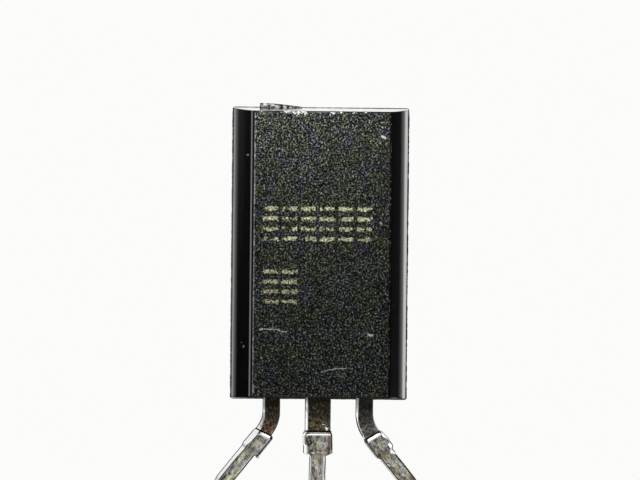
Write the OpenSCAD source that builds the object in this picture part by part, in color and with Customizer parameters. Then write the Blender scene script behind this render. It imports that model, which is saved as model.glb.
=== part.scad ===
// Small-signal power transistor in the long-body TO-92 outline, with its outer
// leads formed out to a wider spacing for the board.
//
// +Z points up along the body, -Y is the way the flat face looks, and X runs
// across the leads. The stamped lead frame lies in the plane y = 0, which is
// also where the two mould halves part. The origin is on the middle lead's
// centre line, level with the top of the board that the part is soldered to.

/* [Body] */
// Width across the rounded sides
body_w = 4.84; // [4.7:0.02:5.1]
// Height at the parting plane
body_h = 8; // [7.8:0.05:8.2]
// Distance from the lead plane to the flat face
flat_d = 1.43; // [1.3:0.01:1.58]
// Radius of the flat face's two long edges
flat_edge_r = 0.12; // [0.08:0.01:0.2]
// Draft of the top and bottom faces, in degrees
end_draft = 5; // [1:0.5:7]

/* [Mould marks] */
// Diameter of the ejector pin's mark on the back
pin_mark_d = 1.6; // [1:0.1:1.8]
// Depth of that mark at the crown of the back
pin_mark_depth = 0.17; // [0.14:0.01:0.3]
// Length of the broken gate on the top face
gate_l = 1.15; // [0.6:0.05:1.4]
// Height of the broken gate at its taller end
gate_h = 0.085; // [0.04:0.005:0.15]
// Distance from the body's middle to the gate's taller end
gate_x = 1.67; // [1.5:0.01:1.8]
// Thickness of the broken gate, front to back
gate_t = 0.34; // [0.2:0.02:0.5]

/* [Leads] */
// Spacing where the leads leave the body
lead_pitch = 1.27; // [1.2:0.01:1.34]
// Spacing at the board
board_pitch = 2.64; // [2.44:0.01:2.94]
// Width of a lead below its stub
lead_w = 0.47; // [0.4:0.01:0.48]
// Thickness of the bare lead frame
lead_t = 0.34; // [0.3:0.01:0.4]
// Thickness of the solder dip on each face, from the stubs down
dip_t = 0.05; // [0.02:0.01:0.06]
// Length below the body
lead_l = 14; // [13.8:0.05:14.2]
// Height of the body's bottom over the board
seat_h = 2.9; // [2.8:0.05:4]

/* [Necks and dam bar stubs] */
// Width of the outer necks
outer_neck_w = 0.49; // [0.46:0.01:0.49]
// Width of the middle neck
middle_neck_w = 0.72; // [0.6:0.01:0.8]
// Length of the middle neck
neck_l = 0.93; // [0.8:0.01:1.1]
// Length of a stub along its lead
stub_l = 0.63; // [0.5:0.01:0.7]
// Length over which a stub narrows to its lead
stub_taper = 0.09; // [0.05:0.01:0.15]
// Width of the middle stub
middle_stub_w = 0.82; // [0.82:0.01:0.9]
// How far the emitter's stub stands out: outer side, inner side
emitter_stub = [0.03, 0.11]; // [0.03:0.01:0.15]
// How far the base's stub stands out: outer side, inner side
base_stub = [0.07, 0.06]; // [0.03:0.01:0.15]

/* [Forming] */
// Drop from the body to the emitter's upper bend
emitter_drop = 0.67; // [0.5:0.01:0.9]
// Drop from the body to the base's upper bend
base_drop = 0.74; // [0.5:0.01:0.9]
// Slant of the emitter lead, in degrees
emitter_slant = 38.8; // [30:0.2:45]
// Slant of the base lead, in degrees
base_slant = 38.4; // [30:0.2:45]
// Centre line radius of the upper bends
upper_bend_r = 0.95; // [0.6:0.05:1.1]
// Centre line radius of the lower bends
lower_bend_r = 0.5; // [0.4:0.05:0.7]

/* [Lead frame inside the body] */
// Height of an outer post, with its bond head
post_h = 2.6; // [2.3:0.05:2.8]
// Width of a bond head
head_w = 1.15; // [0.9:0.05:1.3]
// Height of a bond head
head_h = 0.85; // [0.6:0.05:1]
// Height of the paddle's lower edge
paddle_z = 3; // [2.95:0.05:3.2]
// Width of the paddle
paddle_w = 3.1; // [2.4:0.1:3.4]
// Height of the paddle
paddle_h = 3.3; // [2.6:0.1:3.6]
// Depth of the notches that lock the frame into the resin
notch_d = 0.1; // [0.06:0.01:0.14]

/* [Die and bonds] */
// Side of the square die
die_w = 0.9; // [0.6:0.05:1.1]
// Thickness of the die
die_t = 0.2; // [0.15:0.01:0.25]
// Height of the die's centre over the body's bottom
die_z = 3.95; // [3.9:0.05:4.3]
// Thickness of the solder under the die
solder_t = 0.03; // [0.02:0.01:0.05]
// Width of the solder's margin round the die
solder_margin = 0.06; // [0.03:0.01:0.1]
// Diameter of the bond wires
wire_d = 0.05; // [0.04:0.005:0.08]
// Height of a wire's loop over the line between its ends
loop_rise = 0.42; // [0.3:0.02:0.55]

/* [Hidden] */

$fn = 96;
resin = "#232626";
tin = "#b9b6ae";
silicon = "#5d6470";
solder = "#8f9296";
gold = "#d8b04a";

body_r = body_w / 2;
far = 3 * body_w;                // past everything, for cuts that go right through
bend_steps = 8;                  // straight steps in each bend of a lead
front_y = -lead_t / 2;           // front side of the lead frame, where the die sits
die_top_y = front_y - solder_t - die_t;

// A shape drawn as x and height over the body's bottom becomes a sheet of
// thickness t, whose back side lies at y.
module sheet(y, t) {
    translate([0, y, seat_h]) rotate([90, 0, 0]) linear_extrude(t) children();
}

// A bare piece of the lead frame, stamped from one strip of metal.
module stamped() {
    sheet(lead_t / 2, lead_t) children();
}

// The length of a lead that was dipped in solder, from its stub down.
module dipped() {
    sheet(lead_t / 2 + dip_t, lead_t + 2 * dip_t) children();
}

// ---------- lead outlines ----------

// The two edge points of a lead where its centre line passes p, turned by turn
// degrees from straight down towards +x, with these widths to its left and right.
function station(p, turn, left, right) = [
    p - left * [cos(turn), sin(turn)],
    p + right * [cos(turn), sin(turn)],
];

// The outline that runs down the left edge points and back up the right ones.
module ribbon(stations) {
    last = len(stations) - 1;
    polygon([
        for (i = [0 : last]) stations[i][0],
        for (i = [last : -1 : 0]) stations[i][1],
    ]);
}

// The stub of the dam bar that is left on a lead when the bar is cut away: its
// stations from point p along a run that is turned by turn degrees.
function stub(p, turn, left, right) = let (way = [sin(turn), -cos(turn)]) [
    station(p, turn, left, right),
    station(p + (stub_l - stub_taper) * way, turn, left, right),
    station(p + stub_l * way, turn, lead_w / 2, lead_w / 2),
];

// V-notches in both sides of a strip of width w, centred at height z.
module notches(w, z) {
    for (side = [-1, 1])
        translate([side * w / 2, z]) rotate(45) square(notch_d * sqrt(2), center = true);
}

// An outer lead, formed towards +x: a post with a bond head inside the body,
// then the neck, the upper bend, the slanted run with its stub, the lower bend
// and the straight tail that enters the board.
module outer_lead(drop, slant, stub_out) {
    step_x = board_pitch - lead_pitch;
    half = lead_w / 2;
    neck_half = outer_neck_w / 2;
    upper_cut = upper_bend_r * tan(slant / 2);
    lower_cut = lower_bend_r * tan(slant / 2);
    way = [sin(slant), -cos(slant)];
    across = [cos(slant), sin(slant)];
    upper_centre = [upper_bend_r, upper_cut - drop];
    stub_start = upper_centre - upper_bend_r * across;
    slant_end = stub_start + (step_x / sin(slant) - upper_cut - lower_cut) * way;
    lower_centre = slant_end - lower_bend_r * across;
    stamped() difference() {
        union() {
            ribbon(concat(
                [station([0, post_h - head_h / 2], 0, neck_half, neck_half)],
                [for (i = [0 : bend_steps]) let (a = slant * i / bend_steps)
                    station(upper_centre - upper_bend_r * [cos(a), sin(a)], a, neck_half, neck_half)],
                [station(stub_start + stub_l / 2 * way, slant, half, half)]
            ));
            bond_head();
        }
        notches(outer_neck_w, (post_h - head_h) / 2);
    }
    dipped() ribbon(concat(
        stub(stub_start, slant, half + stub_out[1], half + stub_out[0]),
        [for (i = [bend_steps : -1 : 0]) let (a = slant * i / bend_steps)
            station(lower_centre + lower_bend_r * [cos(a), sin(a)], a, half, half)],
        [station([step_x, -lead_l], 0, half, half)]
    ));
}

// The wide inner end that a bond wire is stitched to, its corners cut off.
module bond_head() {
    corner = head_h / 5;
    low = post_h - head_h;
    polygon([
        [-head_w / 2, low + corner], [-head_w / 2 + corner, low], [head_w / 2 - corner, low],
        [head_w / 2, low + corner], [head_w / 2, post_h - corner], [head_w / 2 - corner, post_h],
        [-head_w / 2 + corner, post_h], [-head_w / 2, post_h - corner],
    ]);
}

// The middle lead, which is one piece with the paddle that carries the die.
module middle_lead() {
    half = lead_w / 2;
    neck_half = middle_neck_w / 2;
    stub_half = middle_stub_w / 2;
    stamped() difference() {
        union() {
            ribbon([
                station([0, paddle_z + neck_half], 0, neck_half, neck_half),
                station([0, -neck_l - stub_l / 2], 0, neck_half, neck_half),
            ]);
            translate([-paddle_w / 2, paddle_z]) square([paddle_w, paddle_h]);
        }
        notches(middle_neck_w, (post_h - head_h) / 2);
        notches(paddle_w, paddle_z + 0.75 * paddle_h);
    }
    dipped() ribbon(concat(
        stub([0, -neck_l], 0, stub_half, stub_half),
        [station([0, -lead_l], 0, half, half)]
    ));
}

module lead_emitter() {
    color(tin) mirror([1, 0, 0]) translate([lead_pitch, 0, 0])
        outer_lead(emitter_drop, emitter_slant, emitter_stub);
}

module lead_base() {
    color(tin) translate([lead_pitch, 0, 0]) outer_lead(base_drop, base_slant, base_stub);
}

module lead_collector() {
    color(tin) middle_lead();
}

// ---------- die, solder and bond wires ----------

module die() {
    color(silicon) sheet(front_y - solder_t, die_t)
        translate([0, die_z]) square(die_w, center = true);
}

module die_attach() {
    color(solder) sheet(front_y, solder_t)
        translate([0, die_z]) square(die_w + 2 * solder_margin, center = true);
}

// A bond wire, from a pad on the die to a bond head. It is one circular arc
// that stands out to the front, with a ball at the die and a flattened stitch
// at the head. Its section is an octagon, which is round enough at this size.
module bond_wire(from, to) {
    span = [to[0] - from[0], front_y - die_top_y, to[1] - from[1]];
    flat_span = norm([span[0], span[2]]);
    chord = norm(span);
    arc_r = (chord * chord / 4 + loop_rise * loop_rise) / (2 * loop_rise);
    half_turn = asin(chord / 2 / arc_r);
    past_end = 3;                // degrees, so that the arc's ends run into what they meet
    ball_d = 2.6 * wire_d;
    ball_h = 1.2 * wire_d;

    difference() {
        translate([from[0], die_top_y, seat_h + from[1]])
            rotate([0, -atan2(span[2], span[0]), 0])          // the wire's plane: span along +x
                rotate([0, 0, atan2(span[1], flat_span)])     // the chord along +x, loop to -y
                    translate([chord / 2, arc_r - loop_rise, 0])
                        rotate([0, 0, -90 - half_turn - past_end])
                            rotate_extrude(angle = 2 * (half_turn + past_end))
                                translate([arc_r, 0]) circle(d = wire_d, $fn = 8);
        lead_collector();
        lead_emitter();
        lead_base();
        die();
    }
    translate([from[0], die_top_y, seat_h + from[1]])
        rotate([90, 0, 0]) cylinder(h = ball_h, d = ball_d, $fn = 8);
    stitch_l = 3 * wire_d;
    stitch_t = 0.5 * wire_d;
    translate([to[0], front_y, seat_h + to[1]])
        rotate([0, -atan2(span[2], span[0]), 0])
            translate([-stitch_l / 2, -stitch_t, -wire_d])
                cube([stitch_l, stitch_t, 2 * wire_d]);
}

// Where a wire meets the die and its head: x and height, mirrored for the base.
pad_x = die_w / 4;
pad_z = die_z - die_w / 6;
head_x = lead_pitch;
head_z = post_h - head_h / 2;

module bond_wire_emitter() {
    color(gold) bond_wire([-pad_x, pad_z], [-head_x, head_z]);
}

module bond_wire_base() {
    color(gold) bond_wire([pad_x, pad_z], [head_x, head_z]);
}

// ---------- moulded body ----------

// The D-shaped section: a circle cut by the flat, whose two edges are rounded
// in three short steps. The last step runs on out through the circle.
module d_section() {
    steps = 3;
    edge_y = flat_edge_r - flat_d;
    edge_x = sqrt(pow(body_r - flat_edge_r, 2) - edge_y * edge_y);
    turn = 90 + atan2(edge_y, edge_x);              // from the flat to where the circle takes over
    edge = [for (i = [0 : steps]) let (a = turn * i / steps - 90)
        [edge_x, edge_y] + flat_edge_r * [cos(a), sin(a)]];
    run_out = edge[steps - 1] + far / flat_edge_r * (edge[steps] - edge[steps - 1]);
    right = [for (i = [0 : steps - 1]) edge[i], run_out];
    intersection() {
        circle(body_r);
        polygon([
            for (p = right) p,
            [far, far * 2], [-far, far * 2],
            for (i = [len(right) - 1 : -1 : 0]) [-right[i][0], right[i][1]],
        ]);
    }
}

// Side view of the draft: the top and bottom faces fall away from the parting
// plane, to the front and to the back.
module draft_profile() {
    fall = far * tan(end_draft);
    polygon([[-far, fall], [0, 0], [far, fall],
             [far, body_h - fall], [0, body_h], [-far, body_h - fall]]);
}

// What is left where the moulding was snapped off its runner: a blunt end and
// a torn slope.
module gate_vestige() {
    torn = [[0, 1], [0.26, 0.96], [0.48, 0.74], [0.66, 0.54], [0.85, 0.26], [1, 0]];
    root = 0.05;
    sheet(gate_t / 2, gate_t)
        translate([-gate_x, body_h])
            polygon(concat([[gate_l, -root], [0, -root]], [for (p = torn) [p[0] * gate_l, p[1] * gate_h]]));
}

// The shallow round pocket that an ejector pin leaves on the rounded back.
module pin_mark() {
    translate([0, body_r - pin_mark_depth, seat_h + body_h / 2])
        rotate([-90, 0, 0]) cylinder(h = body_r, d = pin_mark_d);
}

module moulding() {
    difference() {
        intersection() {
            translate([0, 0, seat_h]) linear_extrude(body_h) d_section();
            translate([-far / 2, 0, seat_h])
                rotate([90, 0, 90]) linear_extrude(far) draft_profile();
        }
        pin_mark();
    }
    gate_vestige();
}

// The resin fills every space round the pieces that are moulded in.
module body() {
    color(resin) difference() {
        moulding();
        lead_emitter();
        lead_collector();
        lead_base();
        die();
        die_attach();
        bond_wire_emitter();
        bond_wire_base();
    }
}

body();
lead_emitter();
lead_collector();
lead_base();
die();
die_attach();
bond_wire_emitter();
bond_wire_base();
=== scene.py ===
"""Looks of a small three-lead transistor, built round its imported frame.

Lengths are metres in the frame's own axes: +Z runs up the body, -Y is the way the flat face looks, and
the leads and the mould's parting line lie in the plane y = 0.
"""

import math

import bpy
import numpy as np
from bpy.props import FloatProperty, FloatVectorProperty, PointerProperty
from mathutils import Matrix, Vector


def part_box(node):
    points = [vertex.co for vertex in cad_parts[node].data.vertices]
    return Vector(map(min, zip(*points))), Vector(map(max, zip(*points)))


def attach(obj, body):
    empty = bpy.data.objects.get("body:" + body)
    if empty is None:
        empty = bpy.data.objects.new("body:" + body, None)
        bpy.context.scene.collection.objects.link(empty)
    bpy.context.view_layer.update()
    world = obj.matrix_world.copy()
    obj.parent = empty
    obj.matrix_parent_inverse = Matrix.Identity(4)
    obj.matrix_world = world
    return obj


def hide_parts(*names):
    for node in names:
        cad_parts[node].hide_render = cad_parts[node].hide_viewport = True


bl_info = {
    "name": "Three-lead transistor",
    "version": (1, 0, 0),
    "blender": (4, 5, 0),
    "location": "View3D > Sidebar > Transistor",
    "description": "Builds the moulded body, the leads, the inner pieces and a studio stage",
    "category": "Object",
}

MM = 0.001

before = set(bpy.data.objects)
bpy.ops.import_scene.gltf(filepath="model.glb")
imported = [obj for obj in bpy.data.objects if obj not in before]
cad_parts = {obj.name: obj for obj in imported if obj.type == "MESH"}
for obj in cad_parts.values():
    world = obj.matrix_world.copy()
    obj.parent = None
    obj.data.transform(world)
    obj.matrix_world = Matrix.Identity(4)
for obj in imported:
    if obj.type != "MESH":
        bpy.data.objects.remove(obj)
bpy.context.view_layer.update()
body_low, body_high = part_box("body")
lead_low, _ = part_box("lead_collector")

SEAT = body_low.z
"""Height of the body's bottom over the board."""
HALF_WIDTH = body_high.x
"""Half the body's width, over the parting ridge."""
FLAT_DEPTH = -body_low.y
"""Distance from the lead plane to the flat."""
FLOOR_Z = lead_low.z
"""Height of the floor, which the lead ends touch."""


def length(name, description, mm):
    """A length property whose default is given in millimetres."""
    return FloatProperty(name=name, description=description, default=mm * MM, unit="LENGTH", precision=5)


def angle(name, description, degrees):
    """An angle property whose default is given in degrees."""
    return FloatProperty(name=name, description=description, default=math.radians(degrees), unit="ROTATION")


def linear(hex_colour):
    """Turns an sRGB hex value, such as #b4b1aa, into the linear red, green and blue that Blender works in."""
    parts = [int(hex_colour[i : i + 2], 16) / 255 for i in (1, 3, 5)]
    return tuple(c / 12.92 if c <= 0.04045 else ((c + 0.055) / 1.055) ** 2.4 for c in parts)


def colour(name, description, hex_colour):
    """A colour property whose default is an sRGB hex value."""
    return FloatVectorProperty(
        name=name, description=description, default=linear(hex_colour), size=3, min=0, max=1, subtype="COLOR"
    )


class BodyShape(bpy.types.PropertyGroup):
    """Sizes of the moulded body. Its width, depth and place come from the frame."""

    height: length("Height", "Height of the body over the ends of the parting ridge", 7.972)
    lift: length("Lift", "Height of the body's lowest point over the lead frame's seat line", 0.008)
    draft: angle("Draft", "How far the top and bottom faces fall away from the parting ridge", 3.7)
    flat_edge: length("Flat edge", "Radius of the flat's two long edges", 0.12)
    rim: length("Rim", "Radius of the edges round the top and bottom faces", 0.01)
    grain_edge: length("Grain edge", "Half the width of the spark-eroded field on the flat", 1.856)
    grain_step: length("Grain step", "How far the spark-eroded field stands out", 0.018)
    grain_slope: length("Grain slope", "Width of the slope up to the spark-eroded field", 0.03)
    end_land: length("End land", "Width of the bare line along the top and bottom of the flat", 0.025)
    parting_r: length("Parting corner", "Radius of the ridge's four corners", 0.05)
    parting_w: length("Parting width", "Half the width of the ridge where the mould halves meet", 0.045)
    parting_h: length("Parting height", "Height of the ridge on the sides", 0.04)
    parting_end_h: length("Parting end height", "Height of the ridge on the top and bottom", 0.015)
    pin_mark_d: length("Pin mark", "Diameter of the ejector pin's mark on the back", 1.6)
    pin_mark_depth: length("Pin mark depth", "Depth of the pin's mark at the crown of the back", 0.17)
    gate_l: length("Gate length", "Length of the broken gate on the top face", 1.15)
    gate_h: length("Gate height", "Height of the broken gate at its taller end", 0.1)
    gate_x: length("Gate place", "Distance from the body's middle to the gate's taller end", 1.67)
    gate_t: length("Gate thickness", "Thickness of the broken gate, front to back", 0.34)


class BodyFinish(bpy.types.PropertyGroup):
    """Colours and grain of the moulded body."""

    resin: colour("Resin", "Filled epoxy where the mould was polished", "#0e0f0f")
    grained: colour("Grained resin", "Filled epoxy where the mould was spark-eroded", "#3b3f3d")
    warm: colour("Warm filler", "Tint of the grains that lean to olive", "#eaedbf")
    cool: colour("Cool filler", "Tint of the grains that lean to violet", "#e0daf2")
    ink: colour("Ink", "Worn marking ink", "#afab80")
    # The scuff colour also paints the highlight along the left edge of the grained field.
    scuff: colour("Scuff", "Resin where it is scratched or chipped", "#b4b6b2")
    grain: length("Grain size", "Width of one crater of the spark-eroded grain", 0.075)
    grain_depth: length("Grain depth", "Depth of the spark-eroded grain", 0.012)


class LeadShape(bpy.types.PropertyGroup):
    """Sizes of the stamped and formed leads."""

    pitch: length("Pitch", "Spacing where the leads leave the body", 1.27)
    board_pitch: length("Board pitch", "Spacing at the board", 2.64)
    width: length("Width", "Width of a lead below its stub", 0.47)
    thickness: length("Thickness", "Thickness of the bare lead frame", 0.34)
    dip: length("Dip", "Thickness of the solder dip on each face", 0.05)
    tail: length("Tail", "How far the leads reach below the body", 14.0)
    outer_neck: length("Outer neck", "Width of the outer necks", 0.49)
    middle_neck: length("Middle neck", "Width of the middle neck", 0.72)
    neck_l: length("Neck length", "Length of the middle neck", 0.852)
    stub_l: length("Stub length", "Length of an outer dam bar stub along its lead", 0.67)
    middle_stub_l: length("Middle stub length", "Length of the middle dam bar stub", 0.708)
    stub_taper: length("Stub taper", "Length over which a stub narrows to its lead", 0.09)
    middle_stub: length("Middle stub", "Width of the middle stub", 0.82)
    emitter_outer: length("Emitter stub, outer", "How far the emitter's stub stands out, outside", 0.03)
    emitter_inner: length("Emitter stub, inner", "How far the emitter's stub stands out, inside", 0.11)
    base_outer: length("Base stub, outer", "How far the base's stub stands out, outside", 0.07)
    base_inner: length("Base stub, inner", "How far the base's stub stands out, inside", 0.06)
    emitter_drop: length("Emitter drop", "Depth below the body of the emitter's upper bend", 0.63)
    base_drop: length("Base drop", "Depth below the body of the base's upper bend", 0.7)
    emitter_slant: angle("Emitter slant", "Slant of the emitter's spread run", 38.8)
    base_slant: angle("Base slant", "Slant of the base's spread run", 38.4)
    emitter_seam: angle("Emitter seam", "Slope of the line at which the emitter's dip ends", 25)
    base_seam: angle("Base seam", "Slope of the line at which the base's dip ends", 32)
    bead_l: length("Bead length", "Length of the bead that the dip ends in", 0.112)
    nib: length("Nib", "Radius of the nib that the dam bar's cut left on the emitter", 0.055)
    upper_r: length("Upper bend", "Centre line radius of the upper bends", 0.95)
    lower_r: length("Lower bend", "Centre line radius of the lower bends", 0.5)
    post_h: length("Post height", "Height of an outer post with its bond head", 2.6)
    head_w: length("Head width", "Width of a bond head", 1.15)
    head_h: length("Head height", "Height of a bond head", 0.85)
    paddle_z: length("Paddle place", "Height of the paddle's lower edge", 3.0)
    paddle_w: length("Paddle width", "Width of the paddle", 3.1)
    paddle_h: length("Paddle height", "Height of the paddle", 3.3)
    notch: length("Notch", "Depth of the notches that lock the frame into the resin", 0.1)


class LeadFinish(bpy.types.PropertyGroup):
    """Colours of the leads."""

    tin: colour("Tin", "Solder dip where it is clean", "#f2f0f2")
    dull: colour("Dull tin", "Solder dip dulled by handling", "#5e5c5a")
    warm: colour("Warm tin", "Tint of the tin where it leans to olive", "#f3f3d4")
    cool: colour("Cool tin", "Tint of the tin where it leans to lilac", "#f1edf6")
    stain: colour("Stain", "Bare frame below the body, browned by resin bleed and heat", "#464031")
    flux: colour("Flux", "Yellow-brown flux left on the tin", "#aba070")
    rust: colour("Rust", "Red-brown spots", "#805452")
    # The pit colour also paints the shade line in the crease over the dip's bead.
    pit: colour("Pit", "Pits and torn edges", "#1a1918")


class StageSettings(bpy.types.PropertyGroup):
    """Camera, lamps and floor."""

    azimuth: angle("Azimuth", "How far the camera stands round to the right of the flat's middle", -2.0)
    elevation: angle("Elevation", "How far the camera stands above the horizon", 1.22)
    roll: angle("Roll", "How far the camera is turned anticlockwise", 0.57)
    distance: length("Distance", "Distance from the camera to its aim", 150)
    view_w: length("View width", "Width that the camera sees at its aim", 640 / 36.65)
    aim_x: length("Aim across", "Place of the aim across the leads", 0.006)
    aim_z: length("Aim height", "Height of the aim over the board", 7.259)
    floor: colour("Floor", "Paper under the part", "#f1f0ec")
    backdrop: colour("Backdrop", "White sweep all round the stage", "#fbfcfa")
    screen_left: angle("Screen, left", "Where the black screen has faded out on the left", -174)
    screen_right: angle("Screen, right", "Where the black screen has faded out on the right", 153)
    fade_left: angle("Fade, left", "How far the left end of the black screen fades", 34)
    fade_right: angle("Fade, right", "How far the right end of the black screen fades", 25)


# ---------- shared numpy helpers ----------


def ramp(x):
    """Smooth step: 0 below 0, 1 above 1, and 3x^2 - 2x^3 between."""
    x = np.clip(x, 0, 1)
    return x * x * (3 - 2 * x)


def wobble(u, v, seed):
    """Smooth noise from -1 to 1 over two parameters: random heights at whole numbers, joined by ramps."""
    size = 251
    heights = np.random.default_rng(seed).uniform(-1, 1, (size, size))
    u, v = np.broadcast_arrays(u, v)
    i, j = np.floor(u).astype(int), np.floor(v).astype(int)
    a, b = ramp(u - i), ramp(v - j)
    near, away = (
        heights[row % size, j % size] * (1 - b) + heights[row % size, (j + 1) % size] * b
        for row in (i, i + 1)
    )
    return near * (1 - a) + away * a


def closed_skin(rings, ends=None):
    """Closed skin over rings, an array of rings by points by xyz: its points, and its quads and triangles.

    Point j of ring i joins point j of ring i + 1, a ring's last point joins its first, and each end is
    closed by a fan to the end point given, or to its ring's middle. Faces are turned outwards by the sign
    of the volume.
    """
    count, around = rings.shape[:2]
    if ends is None:
        ends = [rings[0].mean(0), rings[-1].mean(0)]
    points = np.concatenate([rings.reshape(-1, 3), ends])
    i = np.arange(count - 1)[:, None] * around
    j = np.arange(around)
    k = (j + 1) % around
    quads = np.stack([i + j, i + k, i + around + k, i + around + j], -1).reshape(-1, 4)
    first = np.full(around, count * around)
    last_ring = (count - 1) * around
    last_fan = np.stack([first + 1, last_ring + j, last_ring + k], -1)
    fans = np.concatenate([np.stack([first, k, j], -1), last_fan])
    corners = np.concatenate([quads[:, [0, 1, 2]], quads[:, [0, 2, 3]], fans])
    a, b, c = points[corners.T]
    if np.einsum("ij,ij->i", a, np.cross(b, c)).sum() < 0:
        quads, fans = quads[:, ::-1], fans[:, ::-1]
    return points, (quads, fans)


def merged(skins):
    """Joins skins, each (points, (quads, fans), {attribute: value per point}), into one of the same form."""
    starts = np.cumsum([0] + [len(points) for points, _, _ in skins])
    points = np.concatenate([points for points, _, _ in skins])
    faces = [np.concatenate([skin[1][kind] + start for skin, start in zip(skins, starts)]) for kind in (0, 1)]
    marks = {name: np.concatenate([skin[2][name] for skin in skins]) for name in skins[0][2]}
    return points, faces, marks


def grid(x, y, z):
    """Points over two parameters, from their coordinates along each axis."""
    return np.stack(np.broadcast_arrays(x, y, z), -1)


def add_object(name, points, faces, material, marks):
    """Puts points, faces and attributes of the points into a new mesh object at the origin."""
    mesh = bpy.data.meshes.new(name)
    mesh.from_pydata(points, [], [face for kind in faces for face in kind.tolist()])
    for mark, values in marks.items():
        kind, field = ("FLOAT", "value") if values.ndim == 1 else ("FLOAT_VECTOR", "vector")
        mesh.attributes.new(mark, kind, "POINT").data.foreach_set(field, values.astype(np.float32).ravel())
    mesh.materials.append(material)
    made = bpy.data.objects.new(name, mesh)
    bpy.context.scene.collection.objects.link(made)
    return made


def make_piece(name, skin, material, replaced, sharp_degrees=35):
    """Makes a skin into an object that rides on the part, stands for its CAD node and wears a material.

    Faces that look almost straight up or down are planes, so they are shaded flat.
    """
    points, faces, marks = skin
    piece = add_object(name, points, faces, material, marks)
    mesh = piece.data
    normals = np.empty(3 * len(mesh.polygons), np.float32)
    mesh.polygons.foreach_get("normal", normals)
    straight_up = 0.995
    mesh.polygons.foreach_set("use_smooth", np.abs(normals[2::3]) < straight_up)
    mesh.set_sharp_from_angle(angle=math.radians(sharp_degrees))
    if mesh.validate(verbose=True):
        raise RuntimeError(f"{name} has faces that Blender had to repair")
    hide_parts(replaced)
    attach(piece, "root")


# ---------- moulded body ----------


def side_radius(shape):
    """Radius of the rounded sides, under the parting ridge."""
    return HALF_WIDTH - shape.parting_h


def half_outline(shape):
    """Right half of the D-shaped section, from the flat's middle round to the crown of the back.

    Gives the points and the outward directions. The flat is y = -depth. Its edge is an arc that touches
    the flat and the circle, centred at (sqrt((R - r)^2 - (r - depth)^2), r - depth). The rest is the circle
    of radius R. Columns crowd together at the grain's edge and at the pin mark.
    """
    r, radius = shape.flat_edge, side_radius(shape)
    edge_y = r - FLAT_DEPTH
    edge_x = math.sqrt((radius - r) ** 2 - edge_y**2)
    meet = math.atan2(edge_y, edge_x)
    slope = shape.grain_edge - shape.grain_slope * np.array([1.35, 1, 0.67, 0.33, 0, -0.35])
    flat_x = np.concatenate([np.linspace(0, slope[0], 84)[:-1], slope])
    turns = np.linspace(-math.pi / 2, meet, 10)
    crown = math.pi / 2
    pocket = crown - math.asin((shape.pin_mark_d / 2 + 0.05 * MM) / radius)
    arc = np.concatenate(
        [np.linspace(meet, 0, 12)[1:], np.linspace(0, pocket, 18)[1:], np.linspace(pocket, crown, 24)[1:]]
    )
    flat = np.stack([flat_x, np.full_like(flat_x, -FLAT_DEPTH)], -1)
    out_flat = np.tile([0.0, -1.0], (len(flat), 1))
    out_edge = np.stack([np.cos(turns), np.sin(turns)], -1)
    out_side = np.stack([np.cos(arc), np.sin(arc)], -1)
    points = np.concatenate([flat, np.array([edge_x, edge_y]) + r * out_edge, radius * out_side])
    return points, np.concatenate([out_flat, out_edge, out_side])


def whole_outline(shape):
    """The D-shaped section, anticlockwise from the flat's middle: the right half, then its mirror image."""
    return [np.concatenate([half, half[-2:0:-1] * [-1, 1]]) for half in half_outline(shape)]


def body_rings(shape):
    """Rings of the body from the bottom's middle to the top's: cap, rounded rim, wall, rounded rim, cap.

    On the wall a ring is the outline itself, and rows crowd together under the top edge, where it is
    chipped. On a rim at angle a it is drawn in by rim * (1 - cos a), and on a cap it shrinks towards the
    axis. A cap falls from the foot of the parting ridge with its draft, by |y| * tan(draft), and a rim is
    rim * (1 - sin a) below it. The bottom mirrors the top.
    """
    outline, outward = whole_outline(shape)
    quarter = np.linspace(0, math.pi / 2, 6)[:, None]
    shrink = np.array([0.008, 0.02, 0.04, 0.08, 0.2, 0.4, 0.6, 0.8, 0.95])[:, None, None]
    rim_xy = outline - shape.rim * (1 - np.cos(quarter))[..., None] * outward
    end_xy = np.concatenate([rim_xy, rim_xy[-1] * (1 - shrink)])
    end_below = np.concatenate([shape.rim * (1 - np.sin(quarter)), np.zeros((len(shrink), 1))])
    end_h = shape.height - shape.parting_end_h - np.abs(end_xy[..., 1]) * math.tan(shape.draft) - end_below
    up = np.interp(np.arange(1, 256), [0, 8, 228, 256], [0, 0.03, 0.965, 1])[:, None]
    wall_h = (shape.height - end_h[0]) * (1 - up) + end_h[0] * up
    wall_xy = np.broadcast_to(outline, (len(up), *outline.shape))
    xy = np.concatenate([end_xy[::-1], wall_xy, end_xy])
    height = shape.lift + np.concatenate([shape.height - end_h[::-1], wall_h, end_h])
    return np.concatenate([xy, height[..., None]], -1), np.broadcast_to(outward, xy.shape)


# Bites out of the flat's top edge: place across, width, depth down the flat, depth into the body, in mm.
TOP_CHIPS = (
    (-0.97, 0.20, 0.08, 0.04),
    (-0.73, 0.15, 0.17, 0.06),
    (-0.5, 0.17, 0.165, 0.05),
    (0.29, 0.13, 0.09, 0.09),
    (0.5, 0.06, 0.06, 0.03),
    (0.84, 0.05, 0.07, 0.03),
    (1.16, 0.05, 0.06, 0.03),
    (-1.66, 0.04, 0.04, 0.03),
)

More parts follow.
